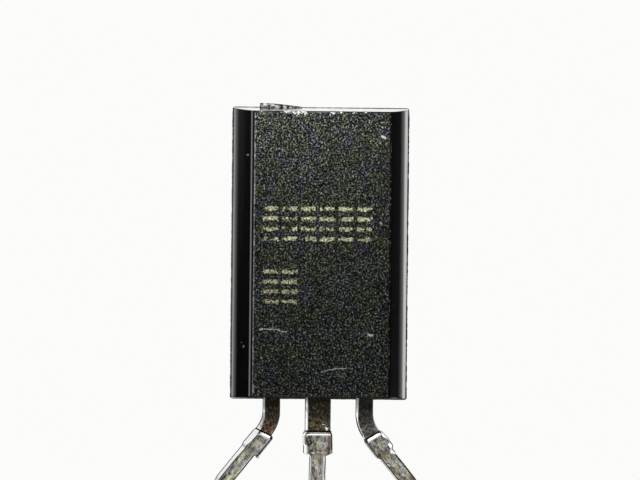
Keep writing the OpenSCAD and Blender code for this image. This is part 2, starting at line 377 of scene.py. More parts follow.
# Scratches on the flat: ends across and up from the body's bottom, width and strength, in mm.
SCRATCHES = (
    (-1.64, 1.96, -1.58, 1.97, 0.030, 0.95),
    (-1.58, 1.97, -1.36, 1.95, 0.020, 0.8),
    (-1.42, 1.96, -1.13, 1.96, 0.020, 0.75),
    (-1.16, 1.93, -0.92, 1.89, 0.020, 0.8),
    (-1.58, 1.88, -1.44, 1.87, 0.016, 0.5),
    (0.02, 0.81, 0.20, 0.87, 0.016, 0.75),
    (0.20, 0.87, 0.42, 0.91, 0.018, 0.9),
    (0.42, 0.91, 0.70, 0.92, 0.016, 0.75),
    (0.40, 0.80, 0.56, 0.69, 0.015, 0.55),
    (0.54, 0.80, 0.70, 0.77, 0.015, 0.55),
    (0.56, 0.69, 0.68, 0.71, 0.015, 0.55),
    (-2.14, 1.58, -2.07, 1.46, 0.024, 0.62),
    (-2.07, 1.46, -2.03, 1.44, 0.024, 0.5),
    (-2.04, 6.78, -2.04, 6.76, 0.030, 0.5),
    (-2.03, 6.68, -2.03, 6.65, 0.030, 0.6),
    (1.29, 1.84, 1.40, 1.82, 0.032, 1.0),
    (1.61, 7.21, 1.69, 7.16, 0.036, 1.0),
    (1.54, 7.03, 1.60, 7.00, 0.026, 0.6),
    (1.58, 4.87, 1.61, 4.84, 0.030, 0.8),
    (1.60, 1.34, 1.61, 1.45, 0.016, 0.6),
    (-1.71, 1.06, -1.60, 0.86, 0.018, 0.45),
    (-1.62, 1.20, -1.59, 1.17, 0.03, 0.6),
    (1.24, 1.50, 1.34, 1.57, 0.014, 0.5),
    (0.83, 6.10, 0.84, 6.14, 0.026, 0.6),
    (-1.80, 0.25, -1.79, 0.46, 0.016, 0.6),
)

# Rows of ink marks: left edge, height of the middle over the body's bottom, in mm, and number of marks.
INK_ROWS = ((-1.59, 4.82, 6), (-1.58, 3.12, 2))
# Spacing, width and height of the marks, in mm, and the number and height of the dashes in one.
INK_PITCH, INK_W, INK_H = 0.507, 0.42, 0.93
INK_DASHES, INK_DASH_H = 4, 0.115
INK_SOFT = 0.08
"""Width over which a dash's edge fades."""


def ink_cover(x, h):
    """Share of ink at places on the flat, in mm: each mark is a stack of level dashes with soft edges.

    In a dash's own axes the distance inside its edge is min(w/2 - |u|, t/2 - |v|).
    """
    cover = np.zeros_like(x)
    dash_pitch = (INK_H - INK_DASH_H) / (INK_DASHES - 1)
    for left, middle, marks in INK_ROWS:
        mark = np.clip(np.floor((x - left) / INK_PITCH), 0, marks - 1)
        u = x - left - mark * INK_PITCH - INK_W / 2
        v = h - middle + INK_H / 2 - INK_DASH_H / 2
        dash = np.clip(np.round(v / dash_pitch), 0, INK_DASHES - 1)
        inside = np.minimum(INK_W / 2 - np.abs(u), INK_DASH_H / 2 - np.abs(v - dash * dash_pitch))
        cover = np.maximum(cover, np.clip(0.5 + inside / INK_SOFT, 0, 1))
    return cover


def scratch_cover(x, h):
    """Strength of the scratches at places on the flat, in mm: 1 on a scratch's line, 0 past its width."""
    cover = np.zeros_like(x)
    for x0, h0, x1, h1, width, strength in SCRATCHES:
        run = np.array([x1 - x0, h1 - h0])
        along = np.clip(((x - x0) * run[0] + (h - h0) * run[1]) / (run @ run), 0, 1)
        away = np.hypot(x - x0 - along * run[0], h - h0 - along * run[1])
        cover = np.maximum(cover, strength * np.clip(1.5 - away / width, 0, 1))
    return cover


# Height of the flat's slow swells, and of the swells in its grained field.
FLAT_SWELL, CRATER_SWELL = 0.0016 * MM, 0.003 * MM


def mould_marks(shape, rings, outward):
    """Moves the rings' points for what the mould and handling left, and marks them for the material.

    Along the outward direction, the grained field stands out by a step and the pin mark drops to a plane.
    Chips push the flat's top edge back and down by (1 - d^2)^2.
    """
    x, y, h = rings[..., 0], rings[..., 1], rings[..., 2]
    out_y = outward[..., 1]
    x_mm, h_mm = x / MM, h / MM
    middle_h = shape.lift + shape.height / 2
    half_flat_h = shape.height / 2 - shape.parting_end_h - FLAT_DEPTH * math.tan(shape.draft)
    top_h = middle_h + half_flat_h
    on_flat = (out_y < -0.999) * ramp((-y - FLAT_DEPTH) / shape.rim + 1)
    into_field = (shape.grain_edge - np.abs(x)) / shape.grain_slope
    inside = ramp((half_flat_h - np.abs(h - middle_h) - shape.end_land) / shape.grain_slope)
    grained = on_flat * ramp(3 * into_field - 2.5) * inside
    lift = shape.grain_step * on_flat * np.clip(into_field, 0, 1)
    lift += on_flat * FLAT_SWELL * wobble(x_mm / 0.35, h_mm / 0.35, 3)
    lift += grained * CRATER_SWELL * wobble(x_mm / 0.07, h_mm / 0.07, 4)

    from_pin = np.hypot(x, h - middle_h)
    pocket = (out_y > 0.5) * ramp((shape.pin_mark_d / 2 - from_pin) / (0.035 * MM) + 0.5)
    floor_y = HALF_WIDTH - shape.pin_mark_depth
    lift += pocket * np.minimum(floor_y / np.maximum(out_y, 0.5) - side_radius(shape), 0)

    moved = rings.copy()
    moved[..., :2] += lift[..., None] * outward
    chipped = np.zeros_like(x)
    ragged = 0.35 * wobble(x_mm / 0.035, h_mm / 0.03, 7)
    for place, width, down, inward in TOP_CHIPS:
        across = (x_mm - place) / width + ragged
        drop = (h - top_h) / MM / down + ragged
        back = (y + FLAT_DEPTH) / MM / max(inward, 0.05)
        bite = np.clip(1 - across**2 - drop**2 - back**2, 0, 1) ** 2 * (y < -0.5 * FLAT_DEPTH)
        moved[..., 1] += bite * inward * MM
        moved[..., 2] -= bite * inward * MM * 0.5
        chipped = np.maximum(chipped, np.sqrt(bite))

    # The flat's top edge is worn in patches. Along the grained field's left edge a pale line is painted
    # highlight, of the step's face that looks towards the lamps on the left, and the land right of the field
    # is paled a little.
    top_edge = on_flat * (h - middle_h > 0.985 * shape.height / 2)
    top_wear = top_edge * 0.35 * np.clip(wobble(x_mm / 0.11, h_mm / 0.11, 6), 0, 1)
    chip_wear = chipped * (0.72 + 0.22 * wobble(x_mm / 0.05, h_mm / 0.04, 9))
    left_edge_highlight = (x < 0) * np.clip(1.7 - 1.5 * np.abs(into_field - 1.2), 0, 1)
    right_land = (x > 0) * np.clip(2 - np.abs(into_field + 0.8), 0, 1)
    uneven = 1 + 0.2 * wobble(h_mm / 0.08, 0, 10)
    side_highlight_and_paling = on_flat * inside * (0.45 * left_edge_highlight + 0.37 * right_land) * uneven
    scratches = (out_y < -0.3) * scratch_cover(x_mm, h_mm)
    marks = {
        "grained": grained,
        "ink": on_flat * ink_cover(x_mm, h_mm),
        "pale_and_highlight": np.maximum.reduce([chip_wear, top_wear, side_highlight_and_paling, scratches]),
        "torn": np.maximum.reduce([chipped, on_flat * (1 - inside), 0.12 * (h > top_h)]),
    }
    return moved, marks


def parting_path(shape):
    """Path of the ridge's foot round the body, as points across and up from the body's middle.

    It is a rectangle with round corners, drawn a quarter at a time and mirrored. It starts and ends in the
    middle of the bottom, inside the middle lead.
    """
    half_w, half_h, r = side_radius(shape), shape.height / 2 - shape.parting_end_h, shape.parting_r
    turn = np.linspace(0, math.pi / 2, 8)
    bottom = np.linspace(0, half_w - r, 90)[:-1]
    side = np.linspace(r - half_h, 0, 140)[1:]
    quarter = np.concatenate(
        [
            np.stack([bottom, np.full_like(bottom, -half_h)], -1),
            np.stack([half_w - r + r * np.sin(turn), r - half_h - r * np.cos(turn)], -1),
            np.stack([np.full_like(side, half_w), side], -1),
        ]
    )
    half = np.concatenate([quarter, quarter[-2::-1] * [1, -1]])
    return np.concatenate([half, half[-2::-1] * [-1, 1]])


def parting_rings(shape):
    """Rings of the ridge where the mould halves met, once round the body in the plane y = 0.

    A ring is a tent over the path: its feet are parting_w to the front and back. It is parting_h high on
    the sides and parting_end_h on the ends, less some noise, as the flash broke off unevenly.
    """
    path = parting_path(shape)
    along = np.cumsum(np.hypot(*np.diff(path, axis=0, prepend=path[:1]).T))
    way = np.gradient(path, axis=0)
    out = np.stack([way[:, 1], -way[:, 0]], -1) / np.linalg.norm(way, axis=-1, keepdims=True)
    rough = 0.9 + 0.15 * wobble(along / (0.11 * MM), 0, 5) + 0.15 * wobble(along / (0.05 * MM), 3, 5)
    tall = shape.parting_h * out[:, 0] ** 2 + shape.parting_end_h * out[:, 1] ** 2
    tent = np.array([[-1, -0.5], [-0.5, 0.5], [-0.15, 1], [0.15, 1], [0.5, 0.5], [1, -0.5], [0, -1]])
    rise = (tall * np.clip(rough, 0.6, 1))[:, None] * tent[:, 1]
    ridge = path[:, None] + out[:, None] * rise[..., None]
    return grid(ridge[..., 0], shape.parting_w * tent[:, 0], shape.lift + shape.height / 2 + ridge[..., 1])


def gate_rings(shape):
    """Rings of the broken gate along x, and how pale each point is.

    Its height falls from a blunt end over a torn slope. A ring is a rounded rectangle of the gate's
    thickness that reaches from a root inside the body up to gate_h times the torn profile, and noise
    roughens it. The crest and the blunt end are dark flash, and the rest is pale with dark hollows.
    """
    along = np.linspace(0, 1, 46)[:, None]
    torn = np.interp(along, [0, 0.03, 0.26, 0.48, 0.66, 0.85, 1], [0.93, 1, 0.94, 0.74, 0.54, 0.26, 0.05])
    turn = np.linspace(0, 2 * math.pi, 24, endpoint=False)[None] + math.pi / 24
    side = np.sign(np.cos(turn)) * np.abs(np.cos(turn)) ** 0.4
    rise = np.sign(np.sin(turn)) * np.abs(np.sin(turn)) ** 0.5
    root, torn_end, torn_top = 0.05 * MM, 0.008 * MM, 0.006 * MM
    rough = wobble(along * 22, turn * 3, 8)
    x = along * shape.gate_l - shape.gate_x + torn_end * rough * (along < 0.02)
    y = shape.gate_t / 2 * (1 + 0.06 * rough) * side
    top = shape.gate_h * torn + torn_top * rough
    height = shape.lift + shape.height + (top + root) / 2 * (1 + rise) - root
    crest = np.interp(along, [0, 0.25, 0.35, 1], [0.85, 0.8, 0.55, 0.1])
    foot = np.interp(along, [0, 0.3, 0.4], [-0.1, -0.1, -1.1])
    rim = (rise > crest) | (rise < foot) | (along < 0.05)
    pale = np.where(rim, 0.37, 0.5 + 0.25 * wobble(along * 15, turn * 1.5, 12))
    return grid(x, y, height), pale


# ---------- leads ----------


# Longest step between a lead's stations, radii of its corners, and swells of the tin on its edges and faces.
STATION_STEP = 0.03 * MM
BARE_CORNER, DIPPED_CORNER = 0.022 * MM, 0.052 * MM
EDGE_SWELL, FACE_SWELL = 0.006 * MM, 0.007 * MM


def ribbon_skin(keys, faces, seed):
    """Skin of a stamped strip that follows key stations from its inner end to its tip.

    A station is (x, height, turn, left, right, half thickness, tinned). Between keys it is linear, with a
    station at least every STATION_STEP. The section is a quadrilateral: its back is left + right wide, and
    its front is narrower by the side faces that show. Each corner is a quadratic curve, and noise in the
    tinned faces is the dip's own unevenness. The marks say where a side face is ("edge") and where it broke
    off rough ("burr"), and "strip" is the place across, through and above the end of the dip, in mm.
    """
    keys = np.array(keys)
    run = np.hypot(*np.diff(keys[:, :2], axis=0).T)
    at = np.concatenate([[0], np.cumsum(np.maximum(run, 0.0005 * MM))])
    places = np.union1d(at, np.arange(0, at[-1], STATION_STEP))
    x, h, turn, left, right, half_t, tinned = (np.interp(places, at, column) for column in keys.T)
    (show_left, torn_left), (show_right, torn_right) = (
        [np.interp(h, heights, column) for column in columns] for heights, *columns in faces
    )
    left += tinned * EDGE_SWELL * wobble(places / (0.4 * MM), 0, seed)
    right += tinned * EDGE_SWELL * wobble(places / (0.4 * MM), 9, seed)
    corner = np.stack(
        [
            np.stack([right - show_right, -half_t], -1),
            np.stack([right, half_t], -1),
            np.stack([-left, half_t], -1),
            np.stack([show_left - left, -half_t], -1),
        ],
        1,
    )
    radius = (BARE_CORNER + (DIPPED_CORNER - BARE_CORNER) * tinned)[:, None, None]
    to_last, to_next = np.roll(corner, 1, 1) - corner, np.roll(corner, -1, 1) - corner
    start = corner + radius * to_last / np.linalg.norm(to_last, axis=-1, keepdims=True)
    end = corner + radius * to_next / np.linalg.norm(to_next, axis=-1, keepdims=True)
    share = np.linspace(0, 1, 6)
    t = share[:, None]
    turned = (1 - t) ** 2 * start[:, :, None] + 2 * t * (1 - t) * corner[:, :, None] + t**2 * end[:, :, None]

    def between(first, shares):
        """Points on the side after a corner, at shares of its way to the next corner."""
        shares = np.broadcast_to(shares, (len(places), np.shape(shares)[-1]))[..., None]
        return end[:, first, None] * (1 - shares) + start[:, (first + 1) % 4, None] * shares

    # A ring goes round corner, side face, corner, back, corner, side face, corner, front. A side face has
    # two points close together where its torn part begins.
    step = np.array([-0.02, 0.02])
    split_right = np.clip(1 - torn_right / show_right, 0.05, 0.95)[:, None] + step
    split_left = np.clip(torn_left / show_left, 0.05, 0.95)[:, None] + step
    ring = np.concatenate(
        [
            turned[:, 0], between(0, split_right),
            turned[:, 1], between(1, np.linspace(0, 1, 5)[1:-1]),
            turned[:, 2], between(2, split_left),
            turned[:, 3], between(3, np.linspace(0, 1, 8)[1:-1]),
        ],
        1,
    )
    side = np.concatenate([share, [1, 1], share[::-1]])
    edge = np.concatenate([side, [0] * 3, side, [0] * 6])
    # Where a side face is torn all over, only its front corner is dark.
    part_torn = np.array([0, 0, 0, 0, 0, 0, 0, 1, 1, 1, 1, 1, 0.5, 0])
    all_torn = np.array([0, 0, 1, 1, 1, 1, 1, 0, 0, 0, 0, 0, 0, 0])
    burr_right = np.where((torn_right > 0.99 * show_right)[:, None], all_torn, part_torn)
    burr_left = np.where((torn_left > 0.99 * show_left)[:, None], all_torn, part_torn)[:, ::-1]
    plain = np.zeros((len(places), 6))
    burr = np.concatenate([burr_right, plain[:, :3], burr_left, plain], 1)

    uneven = wobble(places[:, None] / (0.3 * MM), ring[..., 0] / (0.12 * MM), seed + 1)
    from_seam = places - at[np.argmax(keys[:, 6] > 0.5)]
    settled = tinned * ramp(from_seam / (0.15 * MM) - 0.6)
    ring[..., 1] += np.sign(ring[..., 1]) * (1 - edge) * FACE_SWELL * settled[:, None] * uneven

    c, s = np.cos(turn)[:, None], np.sin(turn)[:, None]
    rings = grid(x[:, None] + ring[..., 0] * c, ring[..., 1], SEAT + h[:, None] + ring[..., 0] * s)
    marks = {
        "tinned": np.broadcast_to(tinned[:, None], burr.shape),
        "edge": np.broadcast_to(edge, burr.shape),
        "burr": burr,
        "strip": grid(ring[..., 0], ring[..., 1], -from_seam[:, None]) / MM,
    }
    for name, values in marks.items():
        ends = [values[0].mean(0), values[-1].mean(0)]
        marks[name] = np.concatenate([values.reshape(-1, *values.shape[2:]), ends])
    return *closed_skin(rings), marks


def upright_keys(x, half_t, tinned, rows):
    """Stations of an upright run, from rows of (height, half width)."""
    return [(x, height, 0, half, half, half_t, tinned) for height, half in rows]


def notch_rows(shape, height, half):
    """Rows over a pair of V-notches, from above: full width, drawn in by the notch, full width."""
    return (height + shape.notch, half), (height, half - shape.notch), (height - shape.notch, half)


# Profile of the bead that the dip ends in: share of its length, growth of the thickness from bare to dipped.
BEAD = (
    (0, 0), (0.05, 0.22), (0.12, 0.38), (0.22, 0.5), (0.55, 0.8), (0.85, 1.09), (1, 1.15),
    (1.1, 1.1), (1.25, 1),
)


def bead_keys(shape, x, h, slant, turn, neck, stub, dipped):
    """Stations of the bead that the dip ends in: widths and thickness grow from the neck's to the stub's.

    The thickness overshoots, so that the bead's upper side looks up and its lower side looks down. The
    widths grow by the same profile but stop at the stub's.
    """
    bare = shape.thickness / 2
    rows = []
    for share, growth in BEAD:
        way = share * shape.bead_l
        left, right = (neck + (width - neck) * min(growth, 1) for width in stub)
        half_t = bare + (dipped - bare) * growth
        rows.append((x + way * math.sin(slant), h - way * math.cos(slant), turn, left, right, half_t, 1))
    return rows


def bend_start(shape, slant, drop):
    """Centre of an outer lead's upper bend, the end of that bend, and the ways along and across the run.

    The bend is an arc of radius R about (R, R * tan(slant / 2) - drop).
    """
    along = np.array([math.sin(slant), -math.cos(slant)])
    across = np.array([math.cos(slant), math.sin(slant)])
    centre = np.array([shape.upper_r, shape.upper_r * math.tan(slant / 2) - drop])
    return centre, centre - shape.upper_r * across, along, across


def outer_keys(shape, drop, slant, seam, stub_out):
    """Stations of an outer lead formed towards +x: bond head, post, neck, bend, slanted run, bend, tail.

    Over the upper bend the stations turn only as far as the seam, so that the dip ends on its slope. The
    lower bend turns the lead straight down again at the board pitch.
    """
    bare, dipped = shape.thickness / 2, shape.thickness / 2 + shape.dip
    neck, half = shape.outer_neck / 2, shape.width / 2
    step_x = shape.board_pitch - shape.pitch
    corner, head = shape.head_h / 5, shape.head_w / 2
    low = shape.post_h - shape.head_h
    upper, stub_start, along, across = bend_start(shape, slant, drop)
    bends = (shape.upper_r + shape.lower_r) * math.tan(slant / 2)
    slant_end = stub_start + (step_x / math.sin(slant) - bends) * along
    lower = slant_end - shape.lower_r * across
    rows = (
        (shape.post_h, head - corner), (shape.post_h - corner, head), (low + corner, head),
        (low, head - corner), (low, neck), *notch_rows(shape, low / 2, neck),
    )
    keys = upright_keys(0, bare, 0, rows)
    for a in np.linspace(0, slant, 14):
        x, h = upper - shape.upper_r * np.array([math.cos(a), math.sin(a)])
        keys.append((x, h, a * seam / slant, neck, neck, bare, 0))
    stub = (half + stub_out[1], half + stub_out[0])
    keys += bead_keys(shape, *stub_start, slant, seam, neck, stub, dipped)
    keys.append((*(stub_start + (shape.stub_l - shape.stub_taper) * along), slant, *stub, dipped, 1))
    keys.append((*(stub_start + shape.stub_l * along), slant, half, half, dipped, 1))
    for a in np.linspace(slant, 0, 10):
        x, h = lower + shape.lower_r * np.array([math.cos(a), math.sin(a)])
        keys.append((x, h, a, half, half, dipped, 1))
    keys += tail_keys(shape, step_x, half, dipped)
    return [(key[0] + shape.pitch, *key[1:]) for key in keys]


def tail_keys(shape, x, half, dipped):
    """Last stations of a lead: the sheared end, slightly drawn down over its last tenth of a millimetre."""
    drawn, over = 0.03 * MM, 0.1 * MM
    sheared = upright_keys(x, dipped - drawn, 1, [(-shape.tail, half - drawn)])
    return upright_keys(x, dipped, 1, [(over - shape.tail, half)]) + sheared


def middle_keys(shape):
    """Stations of the middle lead: the paddle with its notches, the neck, the stub and the straight tail."""
    bare, dipped = shape.thickness / 2, shape.thickness / 2 + shape.dip
    neck, half = shape.middle_neck / 2, shape.width / 2
    stub, paddle = shape.middle_stub / 2, shape.paddle_w / 2
    paddle_top = shape.paddle_z + shape.paddle_h
    low = shape.post_h - shape.head_h
    stub_end = -shape.neck_l - shape.middle_stub_l
    rows = (
        (paddle_top, paddle), *notch_rows(shape, shape.paddle_z + 0.75 * shape.paddle_h, paddle),
        (shape.paddle_z, paddle), (shape.paddle_z, neck), *notch_rows(shape, low / 2, neck),
        (-shape.neck_l, neck),
    )
    return [
        *upright_keys(0, bare, 0, rows),
        *bead_keys(shape, 0, -shape.neck_l, 0, 0, neck, (stub, stub), dipped),
        *upright_keys(0, dipped, 1, ((stub_end + shape.stub_taper, stub), (stub_end, half))),
        *tail_keys(shape, 0, half, dipped),
    ]


def drop_skin(centre, radii, charred):
    """A drop on a lead: an ellipsoid of these radii about a centre (x, y, height below the body), in mm."""
    polar = np.linspace(0.15, math.pi - 0.15, 9)[:, None]
    turn = np.linspace(0, 2 * math.pi, 16, endpoint=False)[None]
    ball = grid(np.sin(polar) * np.cos(turn), np.sin(polar) * np.sin(turn), np.cos(polar))
    points, faces = closed_skin(np.array(centre) * MM + [0, 0, SEAT] + np.array(radii) * MM * ball)
    even = {"tinned": 1.0, "edge": 1.0, "burr": charred, "strip": (0.0, 0.0, -0.6)}
    return points, faces, {name: np.array([value] * len(points)) for name, value in even.items()}


def nib_place(shape, slant, drop, stub_out):
    """Centre of the nib at the inner lower corner of an outer lead's stub, as (x, y, height), in mm."""
    up_from_end, forward, share_out = 0.03 * MM, 0.12 * MM, 0.55
    _, stub_start, along, across = bend_start(shape, slant, drop)
    to_side = shape.width / 2 + share_out * stub_out[1]
    x, h = stub_start + (shape.stub_l - up_from_end) * along - to_side * across
    return (x + shape.pitch) / MM, -forward / MM, h / MM


def side_faces(*sides):
    """A lead's side faces as they show to the front, each (heights, widths, torn widths) for np.interp.

    The width is what shows of the whole face, and the torn width is the part of it, next to the back, where
    the strip broke off rough under the punch.
    """
    return [[np.array(column) * MM for column in zip(*sorted(spans))] for spans in sides]


# Side faces of each lead, as height below the body, width that shows and torn width, in mm.
EMITTER_INNER = (
    (0, 0.02, 0.02), (-0.9, 0.02, 0.02), (-0.95, 0.06, 0.06), (-1.3, 0.06, 0.06), (-1.4, 0.03, 0.03),
)
EMITTER_OUTER = (
    (0, 0.045, 0.02), (-0.3, 0.05, 0.02), (-0.75, 0.09, 0.02), (-0.9, 0.14, 0.02), (-1.0, 0.18, 0.02),
    (-1.2, 0.17, 0.02), (-1.35, 0.12, 0.02), (-1.65, 0.09, 0.02),
)
COLLECTOR_LEFT = (
    (0, 0.06, 0.025), (-0.2, 0.075, 0.02), (-0.93, 0.075, 0.02), (-0.96, 0.03, 0.01), (-1.22, 0.03, 0.01),
    (-1.26, 0.11, 0.025), (-1.5, 0.11, 0.025), (-1.56, 0.03, 0.02),
)
COLLECTOR_RIGHT = ((0, 0.02, 0.02), (-1.35, 0.03, 0.03), (-1.5, 0.06, 0.03), (-1.56, 0.1, 0.03))
BASE_INNER = ((0, 0.065, 0.02), (-0.4, 0.06, 0.02), (-0.6, 0.04, 0.03), (-0.9, 0.045, 0.045))
BASE_OUTER = (
    (0, 0.02, 0.02), (-1.0, 0.025, 0.02), (-1.05, 0.09, 0.025), (-1.12, 0.09, 0.025), (-1.18, 0.035, 0.03),
    (-1.28, 0.035, 0.03), (-1.33, 0.13, 0.04), (-1.5, 0.13, 0.04), (-1.57, 0.03, 0.03),
)

# Drops on the collector: centre and radii, in mm, and 0 for bright solder or 1 for charred flux.
DROPS = (
    ((0.235, -0.17, -0.76), (0.042, 0.012, 0.08), 0.0),
    ((0.15, -0.17, -0.67), (0.05, 0.01, 0.018), 0.0),
    ((-0.27, -0.215, -1.2), (0.013, 0.014, 0.1), 1.0),
    ((-0.19, -0.215, -1.17), (0.017, 0.014, 0.07), 1.0),
    ((-0.23, -0.215, -1.12), (0.03, 0.014, 0.015), 1.0),
    ((-0.13, -0.213, -1.44), (0.06, 0.014, 0.026), 0.0),
    ((0.0, -0.213, -1.42), (0.05, 0.012, 0.02), 0.0),
    ((0.12, -0.213, -1.43), (0.055, 0.013, 0.022), 0.0),
)

# Rusty spots on the tin: place across, height below the body and radius, in mm.
RUST_SPOTS = (
    (2.6, -2.2, 0.2),
    (0.42, -1.1, 0.19),
    (0.4, -1.3, 0.17),
    (1.9, -1.42, 0.07),
    (1.75, -1.2, 0.06),
)


# ---------- materials ----------


BLEND = {"data_type": "RGBA"}
"""Settings of a Mix node that blends colours by its factor."""
MULTIPLY = {"data_type": "RGBA", "blend_type": "MULTIPLY"}
"""Settings of a Mix node that multiplies colours."""


def rgba(colour, factor=1.0):
    """A colour for a socket, times a factor, with no channel over 1."""
    return (*(min(factor * c, 1.0) for c in colour), 1.0)


def plug(tree, target, inputs):
    """Fills a node's sockets, which inputs maps by name or lists in the order of the sockets in use.

    A socket takes a value, another node's output, or another node, which stands for its first output in use.
    """
    if isinstance(inputs, dict):
        pairs = [(target.inputs[name], value) for name, value in inputs.items()]
    else:
        pairs = zip([socket for socket in target.inputs if socket.enabled], inputs)
    for socket, value in pairs:
        if isinstance(value, bpy.types.Node):
            value = next(output for output in value.outputs if output.enabled)
        if isinstance(value, bpy.types.NodeSocket):
            tree.links.new(value, socket)
        else:
            socket.default_value = value


def node(tree, kind, inputs=(), **settings):
    """Adds a shader node with its settings and its inputs.

    In order, Math takes its operands, MapRange (value, from min, from max, to min, to max), which is 0 to 1
    to 0 to 1 by default, Mix (factor, a, b) and TexNoise (place, scale, detail, roughness).
    """
    made = tree.nodes.new("ShaderNode" + kind)
    for name, value in settings.items():
        setattr(made, name, value)
    plug(tree, made, inputs)
    return made


def new_material(name, **values):
    """An empty material whose shader has these plain values, with its object coordinates in mm."""
    material = bpy.data.materials.new(name)
    material.use_nodes = True
    tree = material.node_tree
    tree.nodes.clear()
    shader = node(tree, "BsdfPrincipled", {key.replace("_", " "): value for key, value in values.items()})
    node(tree, "OutputMaterial", {"Surface": shader})
    place = node(tree, "TexCoord").outputs["Object"]
    return material, tree, shader, node(tree, "Mapping", {"Vector": place, "Scale": (1 / MM,) * 3})


def moulded_epoxy(finish):
    """Glass-filled epoxy as it leaves a steel mould.

    The sides copy a polished cavity, so they mirror softly and are near black. The flat copies a
    spark-eroded insert, a field of fine craters that scatters light to dark grey with specks. The ink
    is a thin khaki pad print that has worn off the peaks, and scratches show the pale filler. A pale
    line along the left edge of the grained field is painted highlight.
    """
    material, tree, shader, at = new_material("moulded_epoxy", IOR=1.58)
    grained, ink, pale_and_highlight, torn = (
        node(tree, "Attribute", attribute_name=mark).outputs["Fac"]
        for mark in ("grained", "ink", "pale_and_highlight", "torn")
    )
    per_mm = MM / finish.grain
    crater = node(tree, "TexNoise", (at, per_mm, 3.0, 0.65))
    speck = node(tree, "TexNoise", (at, 1.7 * per_mm, 2.0))
    cloud = node(tree, "TexNoise", (at, 0.35 * per_mm, 3.0))
    tint = node(tree, "TexNoise", (at, 0.7 * per_mm, 2.0))
    drift = node(tree, "TexNoise", (at, 0.15 * per_mm, 3.0))

    level = node(tree, "MapRange", (speck, 0.4, 0.76))
    contrast = node(tree, "Math", (level, 2.5), operation="POWER")
    grey = node(tree, "Mix", (contrast, rgba(finish.grained, 0.03), rgba(finish.grained, 9.0)), **BLEND)
    grain_lean = node(tree, "Math", (tint, 0.6), operation="MULTIPLY")
    lean = node(tree, "Math", (drift, 0.4, grain_lean), operation="MULTIPLY_ADD")
    leaning = node(tree, "MapRange", (lean, 0.42, 0.58))
    hue = node(tree, "Mix", (leaning, rgba(finish.warm), rgba(finish.cool)), **BLEND)
    tinted = node(tree, "Mix", (1.0, grey, hue), **MULTIPLY)
    resin = node(tree, "Mix", (grained, rgba(finish.resin), tinted), **BLEND)

    # The ink holds on where craters and clouds are pale.
    patch = node(tree, "Math", (crater, cloud), operation="ADD")
    worn = node(tree, "Math", (patch, -1.0), operation="ADD")
    holding = node(tree, "Math", (worn, 3.2, 1.0), operation="MULTIPLY_ADD")
    kept = node(tree, "Math", (holding, ink), operation="MULTIPLY")
    inked = node(tree, "MapRange", (kept, 0.5, 0.75, 0.0, 0.9))
    ink_shade = node(tree, "Mix", (level, rgba(finish.ink, 0.25), rgba(finish.ink, 3.0)), **BLEND)
    printed = node(tree, "Mix", (inked, resin, ink_shade), **BLEND)
    # Scratches, chips and the broken gate show the pale filler. The pale line along the grained field's left
    # edge is painted highlight in the same colour.
    pale_and_highlight_level = node(tree, "Math", (crater, 0.9, pale_and_highlight), operation="MULTIPLY_ADD")
    pale_and_highlight_share = node(tree, "MapRange", (pale_and_highlight_level, 0.8, 1.25))

    matt = node(tree, "Math", (grained, torn), operation="MAXIMUM")
    rough = node(tree, "MapRange", (matt, 0.0, 1.0, 0.04, 0.55))
    relief = node(tree, "Math", (crater, grained), operation="MULTIPLY")
    surface = {
        "Base Color": node(tree, "Mix", (pale_and_highlight_share, printed, rgba(finish.scuff)), **BLEND),
        "Roughness": node(tree, "Math", (cloud, 0.08, rough), operation="MULTIPLY_ADD"),
        "Specular IOR Level": node(tree, "MapRange", (matt, 0.0, 1.0, 0.5, 0.05)),
        "Normal": node(tree, "Bump", {"Height": relief, "Distance": finish.grain_depth, "Strength": 1.0}),
    }
    plug(tree, shader, surface)
    return material


